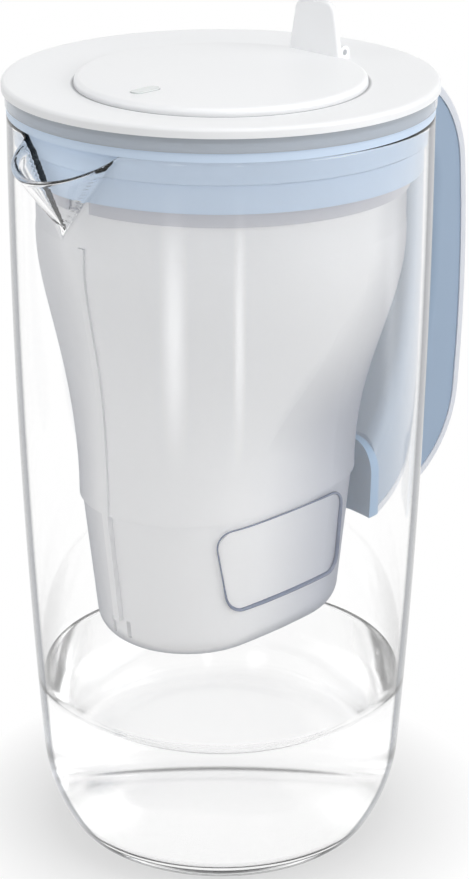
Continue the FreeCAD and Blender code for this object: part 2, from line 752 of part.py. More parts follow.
# Filter cartridge, about its own axis in the middle of the cup
def make_shell():
    body = new_body("cartridge_shell", x="-cup_offset")
    depth = f"{SHELL_TOP} - {SHELL_BASE}"
    padded(body, "XY_Plane", slot_outline(SHELL_HALF_LENGTH, SHELL_HALF_WIDTH), depth, offset=SHELL_BASE)
    rounded(body, "shell_round", at_level(SHELL_BASE))
    padded(body, "XY_Plane", slot_outline(FLANGE_HALF_LENGTH, FLANGE_HALF_WIDTH), "shell_flange",
           offset="cup_top_height")
    turned(body, [
        ("0", f"{SHELL_BASE} - shell_lift - cup_floor / 2"),
        ("spigot_radius", f"{SHELL_BASE} - shell_lift - cup_floor / 2"),
        ("spigot_radius", f"{SHELL_BASE} + shell_floor"),
        ("0", f"{SHELL_BASE} + shell_floor"),
    ])
    padded(
        body,
        "XY_Plane",
        slot_outline(f"({SHELL_HALF_LENGTH} - shell_wall)", f"({SHELL_HALF_WIDTH} - shell_wall)"),
        f"{depth} - shell_floor + overrun",
        offset=f"{SHELL_BASE} + shell_floor",
        cut=True,
        reverse=True,
    )
    turned(body, [
        ("0", "cup_base_height - overrun"),
        ("spigot_radius - spigot_wall", "cup_base_height - overrun"),
        ("spigot_radius - spigot_wall", f"{SHELL_BASE} + shell_floor + overrun"),
        ("0", f"{SHELL_BASE} + shell_floor + overrun"),
    ], cut=True)
    return body


def make_cap():
    body = new_body("cartridge_cap", x="-cup_offset")
    top = f"({SHELL_TOP} + cap_height)"
    padded(body, "XY_Plane", slot_outline(CAP_HALF_LENGTH, CAP_HALF_WIDTH), "cap_height", offset=SHELL_TOP)
    rounded(body, "cap_round", at_level(top))
    padded(
        body,
        "XY_Plane",
        slot_outline(f"({CAP_HALF_LENGTH} - cap_wall)", f"({CAP_HALF_WIDTH} - cap_wall)"),
        "cap_height - cap_round",
        offset=SHELL_TOP,
        cut=True,
        reverse=True,
    )
    padded(
        body,
        "XY_Plane",
        slot_outline(f"({CAP_HALF_LENGTH} - cap_round)", f"({CAP_HALF_WIDTH} - cap_round)"),
        "cap_round - cap_wall + overrun",
        offset=f"{SHELL_TOP} + cap_height - cap_round - overrun",
        cut=True,
        reverse=True,
    )
    padded(body, "XZ_Plane", [
        ("-grip_length / 2", f"{top} - cap_wall / 2"),
        ("grip_length / 2", f"{top} - cap_wall / 2"),
        ("grip_length / 2", top),
        ("0", f"{top} + grip_height", "grip_length / 2", 1),
        ("-grip_length / 2", top, "grip_length / 2", 1),
    ], "grip_thickness", both_ways=True)
    inner = "grip_length / 2 - grip_bar"
    padded(body, "XZ_Plane", [
        (f"-({inner})", top, inner, 1),
        (inner, top),
        ("0", f"{top} + grip_height - grip_bar", inner, 1),
    ], "grip_thickness + 2 * overrun", cut=True, both_ways=True)
    return body


def make_intake(cap):
    """Two rows of intake slots through the top of the cap."""
    top = f"({SHELL_TOP} + cap_height)"
    row_length = f"{INTAKE_SLOTS - 1} * intake_slot_pitch"
    row_start = f"-{row_length} / 2"
    for side in ("", "-"):
        low = f"({side}intake_slot_offset - intake_slot_length / 4)"
        high = f"({side}intake_slot_offset + intake_slot_length / 4)"
        first, last = f"{row_start} - intake_slot_width / 2", f"{row_start} + intake_slot_width / 2"
        slot = padded(cap, "XY_Plane", box_outline(first, last, low, high), "cap_wall + 2 * overrun",
                      offset=f"{top} + overrun", cut=True)
        row = cap.newObject("PartDesign::LinearPattern", "cap_slots")
        row.Originals = [slot]
        row.Direction = (slot.Profile[0], ["H_Axis"])
        row.Occurrences = INTAKE_SLOTS
        bind(row, Length=row_length)
        cap.Tip = row


def make_plate(name, half_length, half_width, low, thickness, hole=None):
    """A flat slot-shaped piece of the cartridge, with or without a slot-shaped hole."""
    body = new_body(name, x="-cup_offset")
    padded(body, "XY_Plane", slot_outline(half_length, half_width), thickness, offset=low)
    if hole:
        padded(body, "XY_Plane", slot_outline(*hole), f"{thickness} + 2 * overrun",
               offset=f"{low} - overrun", cut=True, reverse=True)
    return body


def make_cartridge_inside():
    inner_length, inner_width = f"({SHELL_HALF_LENGTH} - shell_wall)", f"({SHELL_HALF_WIDTH} - shell_wall)"
    floor = f"({SHELL_BASE} + shell_floor)"
    pieces = [
        make_plate("outlet_screen", f"({inner_length} - screen_slack)", f"({inner_width} - screen_slack)",
                   floor, "screen_thickness"),
        make_plate("filter_media", f"({inner_length} - media_slack)", f"({inner_width} - media_slack)",
                   f"{floor} + screen_thickness",
                   f"{SHELL_TOP} - media_headroom - {floor} - screen_thickness"),
        make_plate("inlet_screen", f"({CAP_HALF_LENGTH} - cap_wall - screen_slack)",
                   f"({CAP_HALF_WIDTH} - cap_wall - screen_slack)", SHELL_TOP, "screen_thickness"),
        make_plate(
            "cartridge_seal",
            f"({CUP_MOUTH_HALF_LENGTH} - cartridge_seal_slack)",
            f"({CUP_MOUTH_HALF_WIDTH} - cartridge_seal_slack)",
            "cup_top_height - cartridge_seal_height",
            "cartridge_seal_height",
            hole=(f"({SHELL_HALF_LENGTH} + seal_grip)", f"({SHELL_HALF_WIDTH} + seal_grip)"),
        ),
    ]
    return pieces


# Lid: a dished ring that plugs the funnel's mouth, with two lugs for the flap's pin
def lug_outline():
    """A hinge barrel on a foot, in the XZ plane."""
    low = f"{LEDGE_TOP} - lid_ledge_thickness / 2"
    return [
        (f"{HINGE_X} + hinge_barrel_radius", low),
        (f"{HINGE_X} + hinge_barrel_radius", HINGE_Z),
        (HINGE_X, f"{HINGE_Z} + hinge_barrel_radius", "hinge_barrel_radius", 1),
        (f"{HINGE_X} - hinge_barrel_radius", HINGE_Z, "hinge_barrel_radius", 1),
        (f"{HINGE_X} - hinge_barrel_radius", low),
    ]


def pin_hole(body, width):
    """A running hole for the hinge pin."""
    hole = body.newObject("PartDesign::SubtractiveCylinder", f"{body.Name}_pin_hole")
    hole.Placement.Rotation = FreeCAD.Rotation(FreeCAD.Vector(1, 0, 0), 90)
    return bind(
        hole,
        Radius="hinge_pin_radius + hinge_pin_clearance",
        Height=f"{width} + 2 * overrun",
        Placement__Base__x=HINGE_X,
        Placement__Base__y=f"{width} / 2 + overrun",
        Placement__Base__z=HINGE_Z,
    )


HINGE_SPAN = "(hinge_knuckle_width + 2 * hinge_side_gap + 2 * hinge_lug_width)"


def make_lid():
    body = new_body("lid_ring")
    rim = "(glass_rim_radius + funnel_flange_overhang + lid_overhang)"
    plug = f"({TUBE_BORE} - lid_plug_slack)"
    low = f"({FUNNEL_TOP} - lid_plug_depth)"
    ledge_low = f"({LEDGE_TOP} - lid_ledge_thickness)"
    turned(body, [
        (f"{plug} - lid_plug_wall", low),
        (plug, low),
        (plug, FUNNEL_TOP),
        (rim, FUNNEL_TOP),
        (rim, f"{FUNNEL_TOP} + lid_rim_height - lid_rim_round"),
        (f"{rim} - lid_rim_round", f"{FUNNEL_TOP} + lid_rim_height", "lid_rim_round", 1),
        (f"{rim} - lid_rim_inset", f"{FUNNEL_TOP} + lid_rim_height"),
        (f"{FLAP_RADIUS} + hinge_side_gap", LEDGE_TOP),
        (LID_HOLE, LEDGE_TOP),
        (LID_HOLE, ledge_low),
        (f"{plug} - lid_plug_wall", ledge_low),
    ])
    padded(body, "XZ_Plane", lug_outline(), HINGE_SPAN, both_ways=True)
    span = f"({HINGE_SPAN} + 2 * overrun)"
    knuckle_room = "(hinge_knuckle_width + 2 * hinge_side_gap)"
    room = body.newObject("PartDesign::SubtractiveBox", "lid_knuckle_room")
    bind(
        room,
        Length="2 * hinge_barrel_radius + 2 * overrun",
        Width=knuckle_room,
        Height="hinge_rise + hinge_barrel_radius + overrun",
        Placement__Base__x=f"{HINGE_X} - hinge_barrel_radius - overrun",
        Placement__Base__y=f"-{knuckle_room} / 2",
        Placement__Base__z=f"{LEDGE_TOP} + hinge_side_gap",
    )
    pin_hole(body, span)
    return body


def make_pin():
    pin = doc.addObject("Part::Cylinder", "hinge_pin")
    pin.Label = "hinge_pin"
    pin.Placement.Rotation = FreeCAD.Rotation(FreeCAD.Vector(1, 0, 0), 90)
    return bind(
        pin,
        Radius="hinge_pin_radius",
        Height=HINGE_SPAN,
        Placement__Base__x=HINGE_X,
        Placement__Base__y=f"{HINGE_SPAN} / 2",
        Placement__Base__z=HINGE_Z,
    )


# Flap: a round cover with a thumb tab, a locating rib under it and the middle hinge knuckle
def make_flap():
    body = new_body("fill_flap")
    tab_low = f"({FLAP_TOP} - flap_thickness / 2)"
    tab_top = f"({FLAP_TOP} + tab_height)"
    shoulder = f"({tab_top} - tab_corner)"
    flat = "(tab_top_width / 2 - tab_corner)"
    padded(body, "YZ_Plane", [
        ("-tab_base_width / 2", tab_low),
        ("tab_base_width / 2", tab_low),
        ("tab_top_width / 2", shoulder),
        (flat, tab_top, "tab_corner", 1),
        (f"-{flat}", tab_top),
        ("-tab_top_width / 2", shoulder, "tab_corner", 1),
    ], "tab_thickness", offset=TAB_FRONT)
    near = value("overrun") / 100
    rounded(body, "tab_round", lambda edge: edge.BoundBox.XLength < near
            and edge.BoundBox.ZMax > value(tab_low) + near)
    rib = f"({LID_HOLE} - flap_rib_slack)"
    low = f"({LEDGE_TOP} - flap_rib_height)"
    turned(body, [
        ("0", LEDGE_TOP),
        (f"{rib} - flap_rib_wall", LEDGE_TOP),
        (f"{rib} - flap_rib_wall", low),
        (rib, low),
        (rib, LEDGE_TOP),
        (FLAP_RADIUS, LEDGE_TOP),
        (FLAP_RADIUS, f"{FLAP_TOP} - flap_round"),
        (f"{FLAP_RADIUS} - flap_round", FLAP_TOP, "flap_round", 1),
        ("0", FLAP_TOP),
    ])
    arm = f"({HINGE_Z} - hinge_barrel_radius)"
    padded(body, "XZ_Plane", [
        (TAB_FRONT, arm),
        (HINGE_X, arm),
        (f"{HINGE_X} + hinge_barrel_radius", HINGE_Z, "hinge_barrel_radius", 1),
        (HINGE_X, f"{HINGE_Z} + hinge_barrel_radius", "hinge_barrel_radius", 1),
        (TAB_FRONT, f"{HINGE_Z} + hinge_barrel_radius"),
    ], "hinge_knuckle_width", both_ways=True)
    pin_hole(body, "hinge_knuckle_width")
    room = [f"(button_{side} / 2 + button_clearance)" for side in ("length", "width")]
    window = [(f"{x} - {BUTTON_X}", y, *rest) for x, y, *rest in slot_outline(*room)]
    padded(body, "XY_Plane", window, "flap_thickness + 2 * overrun",
           offset=f"{FLAP_TOP} + overrun", cut=True)
    return body


def make_button():
    body = new_body("reset_button", x=f"-{BUTTON_X}")
    flange_low = f"({LEDGE_TOP} - button_clearance - button_flange_height)"
    padded(body, "XY_Plane", slot_outline("(button_length / 2)", "(button_width / 2)"),
           f"{FLAP_TOP} + button_proud - {flange_low}", offset=flange_low)
    flange = [f"(button_{side} / 2 + button_flange)" for side in ("length", "width")]
    padded(body, "XY_Plane", slot_outline(*flange), "button_flange_height", offset=flange_low)
    return body


# Indicator module: a drum under the flap with a board, a cell and a floor plugged into it
def make_case():
    body = new_body("indicator_case", x=f"-{CASE_X}")
    shelf = "(case_wall + case_wall)"
    turned(body, [
        (CASE_BORE, CASE_LOW),
        ("case_radius", CASE_LOW),
        ("case_radius", LEDGE_TOP),
        (CASE_BORE, LEDGE_TOP),
        (CASE_BORE, BOARD_LOW),
        (f"case_radius - {shelf}", BOARD_LOW),
        (f"case_radius - {shelf}", f"{BOARD_LOW} - case_wall"),
        (CASE_BORE, f"{BOARD_LOW} - case_wall"),
    ])
    return body


def make_module():
    cover = new_body("indicator_cover", x=f"-{CASE_X}")
    plug = f"({CASE_BORE} - case_fit)"
    turned(cover, [
        ("0", f"{CASE_LOW} - case_cover_thickness"),
        ("case_radius", f"{CASE_LOW} - case_cover_thickness"),
        ("case_radius", CASE_LOW),
        (plug, CASE_LOW),
        (plug, f"{CASE_LOW} + case_cover_plug"),
        ("0", f"{CASE_LOW} + case_cover_plug"),
    ])
    seal = new_body("cover_seal", x=f"-{CASE_X}")
    seal_low = f"{CASE_LOW} + case_cover_plug"
    turned(seal, ring_outline(f"{plug} - case_wall", plug, seal_low, f"{seal_low} + case_wall"))
    board = new_body("circuit_board", x=f"-{CASE_X}")
    turned(board, ring_outline("0", plug, BOARD_LOW, BOARD_TOP))
    cell = new_body("coin_cell", x=f"-{CASE_X}")
    cell_high = f"({BOARD_LOW} - contact_thickness)"
    turned(cell, ring_outline("0", "cell_radius", f"{cell_high} - cell_thickness", cell_high))
    contact = new_body("battery_contact", x=f"-{CASE_X}")
    padded(contact, "XY_Plane",
           box_outline("-cell_radius", "cell_radius", "-contact_width / 2", "contact_width / 2"),
           "contact_thickness", offset=cell_high)
    switch = new_body("reset_switch", x=f"-{BUTTON_X}")
    rise = "board_drop - button_clearance - button_flange_height - button_travel - switch_gap"
    padded(switch, "XY_Plane",
           box_outline("-switch_size / 2", "switch_size / 2", "-switch_size / 2", "switch_size / 2"),
           rise, offset=BOARD_TOP)
    led = new_body("status_led", x=f"led_offset - {BUTTON_X}")
    padded(led, "XY_Plane", box_outline("-led_size / 2", "led_size / 2", "-led_size / 2", "led_size / 2"),
           "led_height", offset=BOARD_TOP)
    return [cover, seal, board, cell, contact, switch, led]


def make_pieces():
    """Every piece of the jug, from the glass out to the indicator."""
    cap = make_cap()
    make_intake(cap)
    return [
        make_glass(),
        make_collar(),
        make_collar_seal(),
        make_handle_arm(),
        make_handle_cover(),
        make_foot_pad(),
        make_funnel(),
        make_band(),
        make_shell(),
        cap,
        *make_cartridge_inside(),
        make_lid(),
        make_pin(),
        make_flap(),
        make_button(),
        make_case(),
        *make_module(),
    ]


pieces = make_pieces()
doc.recompute()
failed = [item.Name for item in doc.Objects if {"Invalid", "Error"} & set(item.State)]
failed += [item.Label for item in pieces if item.Shape.isNull() or not item.Shape.isValid()]
if failed:
    raise RuntimeError("these objects did not build: " + ", ".join(failed))
os.makedirs("parts", exist_ok=True)
for item in pieces:
    item.Shape.exportStep(f"parts/{item.Label}.step")
    print(item.Label, "solids", len(item.Shape.Solids), "volume", round(item.Shape.Volume, 1))
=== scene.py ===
import math

import bpy
import numpy as np
from mathutils import Euler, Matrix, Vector
from mathutils.bvhtree import BVHTree


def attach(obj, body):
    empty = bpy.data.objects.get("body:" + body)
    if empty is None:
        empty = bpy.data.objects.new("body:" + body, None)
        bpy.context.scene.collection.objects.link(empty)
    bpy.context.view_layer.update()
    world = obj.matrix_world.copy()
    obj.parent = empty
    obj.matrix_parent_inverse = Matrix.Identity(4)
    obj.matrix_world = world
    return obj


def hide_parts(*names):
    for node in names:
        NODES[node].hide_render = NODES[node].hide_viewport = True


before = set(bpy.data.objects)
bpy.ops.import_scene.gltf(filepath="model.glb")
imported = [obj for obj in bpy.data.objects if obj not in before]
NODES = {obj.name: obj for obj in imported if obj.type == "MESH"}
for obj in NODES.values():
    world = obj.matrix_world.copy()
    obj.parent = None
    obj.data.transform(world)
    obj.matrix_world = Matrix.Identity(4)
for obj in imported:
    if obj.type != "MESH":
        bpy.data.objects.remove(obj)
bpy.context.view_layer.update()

# The jug's lengths are written in millimetres and turned into metres by this
MM = 0.001
scene = bpy.context.scene


# Camera, at the viewing angle of the photograph: place and reach in metres, turn in degrees
CAMERA_PLACE = (-0.5358, -0.5358, 0.4335)
CAMERA_TURN = (68.58, 0.0, -45.0)
CAMERA_LENS = 101.13
CAMERA_SHIFT = (0.01536, 0.0008)
CAMERA_SENSOR = 36.0
CAMERA_REACH = 20.0


def make_camera():
    """The camera of the photograph."""
    lens = bpy.data.cameras.new("camera")
    lens.sensor_width = CAMERA_SENSOR
    lens.sensor_fit = "AUTO"
    lens.lens = CAMERA_LENS
    lens.shift_x, lens.shift_y = CAMERA_SHIFT
    lens.clip_end = CAMERA_REACH
    camera = bpy.data.objects.new("camera", lens)
    camera.location = CAMERA_PLACE
    camera.rotation_euler = Euler([math.radians(angle) for angle in CAMERA_TURN])
    scene.collection.objects.link(camera)
    scene.camera = camera


# Materials
def linear(colour):
    """A linear colour from the 0 to 255 numbers of a picture."""
    shares = [channel / 255 for channel in colour]
    return [c / 12.92 if c <= 0.04045 else ((c + 0.055) / 1.055) ** 2.4 for c in shares] + [1.0]


def calculate(tree, operation, *sources):
    """A math node of a tree. Each source is an output or a written number."""
    node = tree.nodes.new("ShaderNodeMath")
    node.operation = operation
    for source, socket in zip(sources, node.inputs):
        if isinstance(source, float):
            socket.default_value = source
        else:
            tree.links.new(source, socket)
    return node.outputs["Value"]


class Nodes:
    """A material's node tree, with short calls to add and join nodes."""

    def __init__(self, name):
        self.material = bpy.data.materials.new(f"{name}_finish")
        self.material.use_nodes = True
        self.tree = self.material.node_tree
        self.shader = self.tree.nodes["Principled BSDF"]
        self.output = self.tree.nodes["Material Output"]
        self.coordinates = self.add("ShaderNodeTexCoord")
        self.place = self.coordinates.outputs["Object"]

    def add(self, kind, **settings):
        """A new node with its settings."""
        node = self.tree.nodes.new(kind)
        for name, setting in settings.items():
            setattr(node, name, setting)
        return node

    def join(self, start, end):
        """Link an output to an input."""
        self.tree.links.new(start, end)

    def set(self, **numbers):
        """Write numbers on the shader's own sockets."""
        for name, number in numbers.items():
            self.shader.inputs[name.replace("_", " ")].default_value = number

    def noise(self, scale, detail=2.0, stretch=None):
        """A soft noise of so many cells to the metre."""
        node = self.add("ShaderNodeTexNoise")
        node.inputs["Scale"].default_value = scale
        node.inputs["Detail"].default_value = detail
        start = self.place
        if stretch:
            mapping = self.add("ShaderNodeMapping")
            mapping.inputs["Scale"].default_value = stretch
            self.join(start, mapping.inputs["Vector"])
            start = mapping.outputs["Vector"]
        self.join(start, node.inputs["Vector"])
        return node.outputs["Fac"]

    def spread(self, source, low, high, start=0.0, end=1.0):
        """The source, mapped to run from low to high."""
        node = self.add("ShaderNodeMapRange")
        limits = {"From Min": start, "From Max": end, "To Min": low, "To Max": high}
        for name, number in limits.items():
            node.inputs[name].default_value = number
        self.join(source, node.inputs["Value"])
        return node.outputs["Result"]

    def mix(self, share, first, last):
        """A colour between two by a share. Each is a colour output or a written colour."""
        node = self.add("ShaderNodeMix", data_type="RGBA")
        sockets = {socket.identifier: socket for socket in node.inputs}
        for name, colour in (("A_Color", first), ("B_Color", last)):
            if isinstance(colour, tuple):
                sockets[name].default_value = linear(colour)
            else:
                self.join(colour, sockets[name])
        self.join(share, sockets["Factor_Float"])
        return next(socket for socket in node.outputs if socket.identifier == "Result_Color")

    def paint(self, colour):
        """Join a colour output to the shader."""
        self.join(colour, self.shader.inputs["Base Color"])

    def gloss(self, roughness):
        """Join a roughness output to the shader."""
        self.join(roughness, self.shader.inputs["Roughness"])

    def toward(self, source, number, share):
        """The source, drawn to a number by a share."""
        node = self.add("ShaderNodeMix", data_type="FLOAT")
        self.join(share, node.inputs[0])
        self.join(source, node.inputs[2])
        node.inputs[3].default_value = number
        return node.outputs[0]

    def relief(self, height, depth):
        """Bump by a height field of so many millimetres."""
        bump = self.add("ShaderNodeBump")
        bump.inputs["Strength"].default_value = 1.0
        bump.inputs["Distance"].default_value = depth * MM
        self.join(height, bump.inputs["Height"])
        self.join(bump.outputs["Normal"], self.shader.inputs["Normal"])

    def painted_edge_shade(self, colour, start, end):
        """Painted darkening of the glass where its outer side is seen on edge, standing in for the
        darker surroundings it bends in there.
        """
        weight = self.add("ShaderNodeLayerWeight")
        edge = self.spread(weight.outputs["Facing"], 0.0, 1.0, start, end)
        outward = self.add("ShaderNodeVectorMath", operation="DOT_PRODUCT")
        self.join(self.coordinates.outputs["Normal"], outward.inputs[0])
        self.join(self.place, outward.inputs[1])
        outside = calculate(self.tree, "GREATER_THAN", outward.outputs["Value"], 0.0)
        share = calculate(self.tree, "MULTIPLY", edge, outside)
        self.paint(self.mix(share, (255, 255, 255), colour))

    def along(self, axis, start, end):
        """A share that runs from 0 to 1 between two places on an axis, smoothly."""
        split = self.add("ShaderNodeSeparateXYZ")
        self.join(self.place, split.inputs["Vector"])
        node = self.add("ShaderNodeMapRange", interpolation_type="SMOOTHSTEP")
        node.inputs["From Min"].default_value = start * MM
        node.inputs["From Max"].default_value = end * MM
        self.join(split.outputs[axis], node.inputs["Value"])
        return node.outputs["Result"]

    def circle_line(self, radius, width):
        """A share that is 1 on a circle round the upright axis and fades out beside it."""
        flat = self.add("ShaderNodeVectorMath", operation="MULTIPLY")
        flat.inputs[1].default_value = (1, 1, 0)
        self.join(self.place, flat.inputs[0])
        length = self.add("ShaderNodeVectorMath", operation="LENGTH")
        self.join(flat.outputs["Vector"], length.inputs[0])
        beside = calculate(self.tree, "SUBTRACT", length.outputs["Value"], radius * MM)
        away = calculate(self.tree, "ABSOLUTE", beside)
        return self.spread(away, 1.0, 0.0, 0.0, width * MM)


# Plastics: cells to the metre in the flow of colour and in the gloss, and how uneven the gloss is
FLOW_CELLS = 22
GLOSS_CELLS = 60
GLOSS_LOW, GLOSS_HIGH = 0.8, 1.2
PLASTIC_IOR = 1.5
LID_WHITE, LID_SHADOW = (249, 250, 251), (245, 246, 248)
LID_ROUGHNESS = 0.35


def plastic_nodes(name, colour, shadow, roughness, grain=300, depth=0.002, **sockets):
    """Moulded plastic: a faint flow of colour, uneven gloss and a fine grain."""
    nodes = Nodes(name)
    nodes.flow = nodes.mix(nodes.noise(FLOW_CELLS, 1.0), shadow, colour)
    nodes.paint(nodes.flow)
    low, high = roughness * GLOSS_LOW, roughness * GLOSS_HIGH
    nodes.gloss(nodes.spread(nodes.noise(GLOSS_CELLS), low, high))
    nodes.relief(nodes.noise(grain, 1.0), depth)
    nodes.set(IOR=PLASTIC_IOR, **sockets)
    return nodes


def plastic(*looks, **sockets):
    """The material of a moulded plastic."""
    return plastic_nodes(*looks, **sockets).material


# Painted shadow of the gap round the filling flap, as a dark line on the lid's ledge
SEAM_OFFSET = 0.4
SEAM_WIDTH = 0.9
SEAM_RISE = 0.8
SEAM_SHADOW_COLOUR = (132, 133, 138)
SEAT_WIDTH = 2.0


def lid_material():
    """The lid's white plastic, with the flap's gap shadow painted as a dark line at the foot of the
    flap.
    """
    nodes = plastic_nodes("white_lid_gap_shadow", LID_WHITE, LID_SHADOW, LID_ROUGHNESS)
    flap_radius = max(corner.co.y for corner in NODES["fill_flap"].data.vertices) / MM
    corners = [corner.co / MM for corner in NODES["lid_ring"].data.vertices]
    seat = [corner.z for corner in corners if corner.xy.length < flap_radius - SEAT_WIDTH]
    ledge = max(seat)
    line = nodes.circle_line(flap_radius + SEAM_OFFSET, SEAM_WIDTH)
    gap_shadow = calculate(nodes.tree, "MULTIPLY", line, nodes.along("Z", ledge + SEAM_RISE, ledge))
    # Painted shadow of the flap's gap, as a dark line
    nodes.paint(nodes.mix(gap_shadow, nodes.flow, SEAM_SHADOW_COLOUR))
    return nodes.material


# Glass: its painted darkening where it is seen on edge, standing in for the darker surroundings it
# bends in there, from the first to the second share of facing away
GLASS_IOR = 1.47
GLASS_EDGE_SHADE = (72, 76, 84)
GLASS_EDGE = (0.735, 0.775)
GLASS_ROUGHNESS = 0.012
GLASS_CELLS = 40
WAVE_CELLS, WAVE_DEPTH = 14, 0.05
WAVE_STRETCH = (1, 1, 0.35)


def glass_material():
    """Clear glass with a faint unevenness, and painted darkening along its outline."""
    nodes = Nodes("clear_glass")
    nodes.set(Transmission_Weight=1.0, IOR=GLASS_IOR)
    nodes.painted_edge_shade(GLASS_EDGE_SHADE, *GLASS_EDGE)
    nodes.gloss(nodes.spread(nodes.noise(GLASS_CELLS), 0.0, GLASS_ROUGHNESS))
    nodes.relief(nodes.noise(WAVE_CELLS, 1.0, WAVE_STRETCH), WAVE_DEPTH)
    return nodes.material


# Funnel: the heights over which the hopper and the rim turn clear
HOPPER_HEIGHTS = (118.0, 205.0)
RIM_HEIGHTS = (249.0, 250.5)
RIM_BLUE = (230, 239, 250)
FUNNEL_IOR = 1.46

# Roughness and clearness of the frosted cup, the hopper and the rim, and the grain of the frost
CUP_ROUGHNESS, HOPPER_ROUGHNESS, RIM_ROUGHNESS = 0.42, 0.3, 0.04
CUP_CLEAR, HOPPER_CLEAR, RIM_CLEAR = 0.02, 0.03, 0.5
FROST_CELLS, FROST_DEPTH = 700, 0.004

# Painted shade on the frosted wall, soft and grey, which deepens to the handle end of the cup
SHADE_LENGTH = (-28.0, 34.0)
SHADE_HEIGHT = (188.0, 148.0)
TONE_CELLS = 18

# Share of the painted edge shade, a grey along the funnel's outline, over a range of facing away
EDGE_SHARE = 0.75
EDGE_START, EDGE_END = 0.45, 0.92
EDGE_SHADE_GREY = (124, 131, 148)


def funnel_material():
    """Frosted plastic in the cup, clearer up the hopper and clear in the rim under the lid, with
    painted shade low at the handle end and grey painted along its outline.
    """
    nodes = Nodes("frosted_plastic")
    hopper = nodes.along("Z", *HOPPER_HEIGHTS)
    rim = nodes.along("Z", *RIM_HEIGHTS)
    frost = nodes.mix(nodes.noise(TONE_CELLS), (251, 252, 254), (254, 254, 255))
    clear = nodes.mix(rim, (252, 253, 255), RIM_BLUE)
    # Painted shade, deepest low down at the handle end of the cup
    lengthwise, upright = nodes.along("X", *SHADE_LENGTH), nodes.along("Z", *SHADE_HEIGHT)
    painted_shade = calculate(nodes.tree, "MULTIPLY", lengthwise, upright)
    shade = nodes.mix(nodes.noise(TONE_CELLS), (180, 185, 198), (187, 192, 204))
    wall = nodes.mix(painted_shade, nodes.mix(hopper, frost, clear), shade)
    # Painted shade: grey where the wall is seen on edge, turning to the rim's blue up under the lid
    weight = nodes.add("ShaderNodeLayerWeight")
    edge = nodes.spread(weight.outputs["Facing"], 0.0, EDGE_SHARE, EDGE_START, EDGE_END)
    nodes.paint(nodes.mix(edge, wall, nodes.mix(rim, EDGE_SHADE_GREY, RIM_BLUE)))
    roughness = nodes.spread(hopper, CUP_ROUGHNESS, HOPPER_ROUGHNESS)
    nodes.gloss(nodes.toward(roughness, RIM_ROUGHNESS, rim))
    through = nodes.toward(nodes.spread(hopper, CUP_CLEAR, HOPPER_CLEAR), RIM_CLEAR, rim)
    nodes.join(through, nodes.shader.inputs["Transmission Weight"])
    nodes.relief(nodes.noise(FROST_CELLS, 3.0), FROST_DEPTH)
    nodes.set(IOR=FUNNEL_IOR)
    return nodes.material


# Water
WATER_IOR = 1.2
WATER_ROUGHNESS = 0.12
RIPPLE_CELLS, RIPPLE_DEPTH = 24, 0.03


def water_material():
    """Clear water, a little rough so that it shows softly."""
    nodes = Nodes("water")
    nodes.set(Base_Color=(1, 1, 1, 1), Transmission_Weight=1.0)
    nodes.set(IOR=WATER_IOR, Roughness=WATER_ROUGHNESS)
    nodes.relief(nodes.noise(RIPPLE_CELLS, 1.0), RIPPLE_DEPTH)
    return nodes.material


# Metal: cells to the metre in its streaks, gloss and grain
STREAK_CELLS, SHEEN_CELLS, GRAIN_CELLS = 90, 300, 2500
SHEEN_LOW, SHEEN_HIGH = 0.7, 1.3
GRAIN_DEPTH = 0.003


def metal(name, colour, shadow, roughness, stretch):
    """Drawn metal: streaks of colour and gloss along one axis."""
    nodes = Nodes(name)
    nodes.paint(nodes.mix(nodes.noise(STREAK_CELLS, 3.0, stretch), shadow, colour))
    low, high = roughness * SHEEN_LOW, roughness * SHEEN_HIGH
    nodes.gloss(nodes.spread(nodes.noise(SHEEN_CELLS, 3.0, stretch), low, high))
    nodes.relief(nodes.noise(GRAIN_CELLS, 2.0, stretch), GRAIN_DEPTH)
    nodes.set(Metallic=1.0)
    return nodes.material


# Filter mesh and filter beads: scale to the metre, depth, and the range of their roughness
WEAVE_SCALE, WEAVE_DEPTH = 320.0, 0.25
WEAVE_CELLS, WEAVE_GLOSS = 200, (0.4, 0.6)
MEDIA_SCALE, MEDIA_DEPTH = 900.0, 0.4
MEDIA_GLOSS = (0.35, 0.7)


def mesh_material():
    """Woven filter mesh, as two crossed waves."""
    nodes = Nodes("mesh")
    waves = []
    for axis in ("X", "Y"):
        wave = nodes.add("ShaderNodeTexWave", bands_direction=axis)
        wave.inputs["Scale"].default_value = WEAVE_SCALE
        nodes.join(nodes.place, wave.inputs["Vector"])
        waves.append(wave.outputs["Fac"])
    cross = calculate(nodes.tree, "MAXIMUM", *waves)
    nodes.paint(nodes.mix(cross, (150, 156, 162), (235, 238, 240)))
    nodes.gloss(nodes.spread(nodes.noise(WEAVE_CELLS), *WEAVE_GLOSS))
    nodes.relief(cross, WEAVE_DEPTH)
    return nodes.material


def media_material():
    """Packed filter beads: dark grains among pale ones."""
    nodes = Nodes("media")
    beads = nodes.add("ShaderNodeTexVoronoi")
    beads.inputs["Scale"].default_value = MEDIA_SCALE
    nodes.join(nodes.place, beads.inputs["Vector"])
    grains = nodes.spread(beads.outputs["Color"], 0.0, 1.0)
    nodes.paint(nodes.mix(grains, (84, 80, 74), (222, 214, 196)))
    nodes.gloss(nodes.spread(beads.outputs["Distance"], *MEDIA_GLOSS))
    nodes.relief(beads.outputs["Distance"], MEDIA_DEPTH)
    return nodes.material


